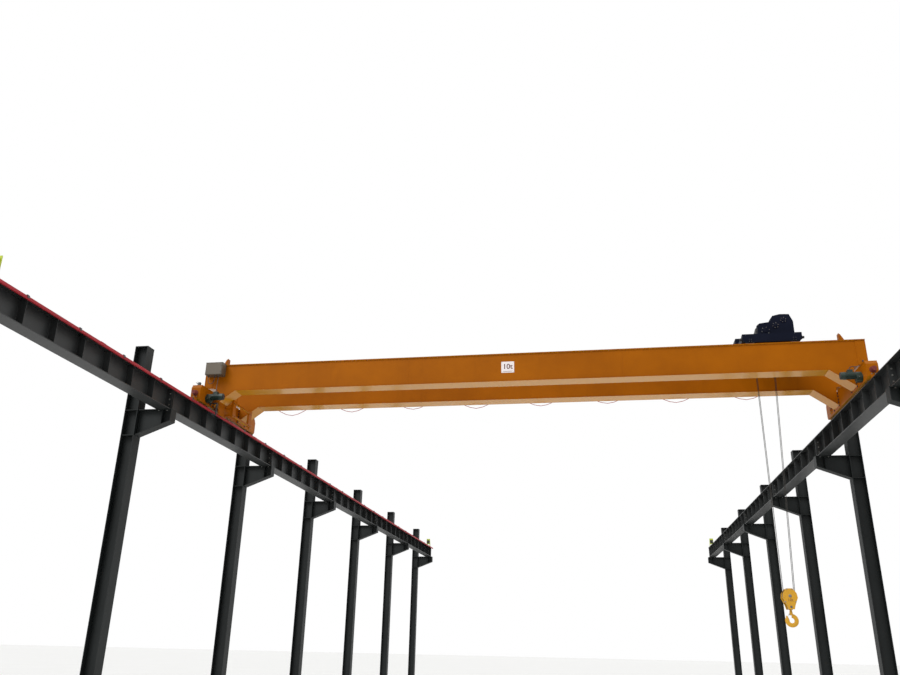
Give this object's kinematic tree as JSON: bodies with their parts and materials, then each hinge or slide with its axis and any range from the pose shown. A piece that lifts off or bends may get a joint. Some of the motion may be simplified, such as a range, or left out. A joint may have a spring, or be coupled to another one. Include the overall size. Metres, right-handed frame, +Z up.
{
  "type": "overhead bridge crane",
  "caption": "Double box-girder travelling crane with rope hoist trolley on a bolted runway of columns, corbels, plate girders and rails.",
  "frame": {"origin": "on the floor, at the middle of the runway's footprint", "axes": "+X along the bridge from the cabinet end to the trolley end, +Y along the runway away from the viewer, +Z up"},
  "size_m": [18.6, 38.85, 9.755],
  "materials": {
    "column_paint": "dark grey enamel, dusty",
    "beam_paint": "dark grey enamel",
    "rail_steel": "rolled steel, polished on top by the wheels",
    "tie_steel": "grey primer",
    "stop_paint": "yellow-green enamel",
    "conductor": "red insulating cover",
    "crane_paint": "orange-yellow enamel, semi-gloss",
    "wheel_steel": "machined tread, oiled",
    "buffer_rubber": "dark red elastomer",
    "motor_paint": "dark green enamel",
    "cabinet_paint": "grey-beige powder coat",
    "plate_paint": "white sign paint",
    "dark_steel": "black zinc",
    "galvanised": "galvanised",
    "hoist_paint": "dark blue enamel",
    "black_rubber": "black rubber",
    "rope_wire": "greased wire rope",
    "hook_paint": "yellow enamel, worn",
    "cable_red": "red cable sheath",
    "cable_dark": "dark cable sheath"
  },
  "bodies": {
    "runway": {"left_columns": "column_paint", "right_columns": "column_paint", "base_plates": "column_paint", "left_corbels": "column_paint", "right_corbels": "column_paint", "left_runway_beam": "beam_paint", "right_runway_beam": "beam_paint", "beam_ties": "tie_steel", "left_rail": "rail_steel", "right_rail": "rail_steel", "end_stops": "stop_paint", "conductor_bar": "conductor", "conductor_brackets": "dark_steel"},
    "bridge": {"near_girder": "crane_paint", "far_girder": "crane_paint", "left_end_carriage": "crane_paint", "right_end_carriage": "crane_paint", "bridge_wheels": "wheel_steel", "buffers": "buffer_rubber", "left_gear_motor": "motor_paint", "right_gear_motor": "motor_paint", "trolley_rails": "rail_steel", "trolley_stops": "crane_paint", "control_cabinet": "cabinet_paint", "capacity_plate": "plate_paint", "current_collector": "dark_steel", "collector_frame": "crane_paint", "festoon_rail": "galvanised", "festoon_end_clamp": "dark_steel", "festoon_cables": "cable_red", "motor_cables": "cable_dark"},
    "trolley": {"trolley_frame": "hoist_paint", "trolley_wheels": "wheel_steel", "trolley_buffers": "black_rubber", "rope_drum": "wheel_steel", "drum_bearing": "hoist_paint", "hoist_gearbox": "hoist_paint", "hoist_motor": "hoist_paint", "upper_sheaves": "wheel_steel", "trolley_motor": "motor_paint", "hoist_electrics": "hoist_paint", "towing_arm": "dark_steel", "ropes": "rope_wire"},
    "hook_block": {"block_cheeks": "hook_paint", "block_sheaves": "wheel_steel", "crosshead": "wheel_steel"},
    "load_hook": {"hook": "hook_paint"},
    "festoon_carrier_1": {"festoon_carrier_1": "dark_steel"},
    "festoon_carrier_2": {"festoon_carrier_2": "dark_steel"},
    "festoon_carrier_3": {"festoon_carrier_3": "dark_steel"},
    "festoon_carrier_4": {"festoon_carrier_4": "dark_steel"},
    "festoon_carrier_5": {"festoon_carrier_5": "dark_steel"},
    "festoon_carrier_6": {"festoon_carrier_6": "dark_steel"},
    "festoon_carrier_7": {"festoon_carrier_7": "dark_steel"},
    "festoon_tow_carrier": {"festoon_tow_carrier": "dark_steel"}
  },
  "joints": [
    {"name": "bridge_travel", "type": "slide", "parent": "runway", "child": "bridge", "axis": [0, 1, 0], "range_m": [-7.4, 26.7]},
    {"name": "trolley_travel", "type": "slide", "parent": "bridge", "child": "trolley", "axis": [1, 0, 0], "range_m": [-13.5, 0.75], "deforming": ["festoon_cables"]},
    {"name": "hook_hoist", "type": "slide", "parent": "trolley", "child": "hook_block", "axis": [0, 0, 1], "range_m": [-2.1, 5.3], "deforming": ["ropes"]},
    {"name": "hook_swivel", "type": "hinge", "parent": "hook_block", "child": "load_hook", "pos_m": [6.213, -9.64, 2.76], "axis": [0, 0, 1], "continuous": true},
    {"name": "carrier_1_run", "type": "slide", "parent": "bridge", "child": "festoon_carrier_1", "axis": [1, 0, 0], "range_m": [-1.69, 0.095]},
    {"name": "carrier_2_run", "type": "slide", "parent": "festoon_carrier_1", "child": "festoon_carrier_2", "axis": [1, 0, 0], "range_m": [-1.69, 0.095]},
    {"name": "carrier_3_run", "type": "slide", "parent": "festoon_carrier_2", "child": "festoon_carrier_3", "axis": [1, 0, 0], "range_m": [-1.69, 0.095]},
    {"name": "carrier_4_run", "type": "slide", "parent": "festoon_carrier_3", "child": "festoon_carrier_4", "axis": [1, 0, 0], "range_m": [-1.69, 0.095]},
    {"name": "carrier_5_run", "type": "slide", "parent": "festoon_carrier_4", "child": "festoon_carrier_5", "axis": [1, 0, 0], "range_m": [-1.69, 0.095]},
    {"name": "carrier_6_run", "type": "slide", "parent": "festoon_carrier_5", "child": "festoon_carrier_6", "axis": [1, 0, 0], "range_m": [-1.69, 0.095]},
    {"name": "carrier_7_run", "type": "slide", "parent": "festoon_carrier_6", "child": "festoon_carrier_7", "axis": [1, 0, 0], "range_m": [-1.69, 0.095]},
    {"name": "tow_carrier_run", "type": "slide", "parent": "festoon_carrier_7", "child": "festoon_tow_carrier", "axis": [1, 0, 0], "range_m": [-1.69, 0.095]}
  ],
  "couplings": [
    {"joint": "carrier_1_run", "follows": "trolley_travel", "ratio": 0.125},
    {"joint": "carrier_2_run", "follows": "trolley_travel", "ratio": 0.125},
    {"joint": "carrier_3_run", "follows": "trolley_travel", "ratio": 0.125},
    {"joint": "carrier_4_run", "follows": "trolley_travel", "ratio": 0.125},
    {"joint": "carrier_5_run", "follows": "trolley_travel", "ratio": 0.125},
    {"joint": "carrier_6_run", "follows": "trolley_travel", "ratio": 0.125},
    {"joint": "carrier_7_run", "follows": "trolley_travel", "ratio": 0.125},
    {"joint": "tow_carrier_run", "follows": "trolley_travel", "ratio": 0.125}
  ]
}
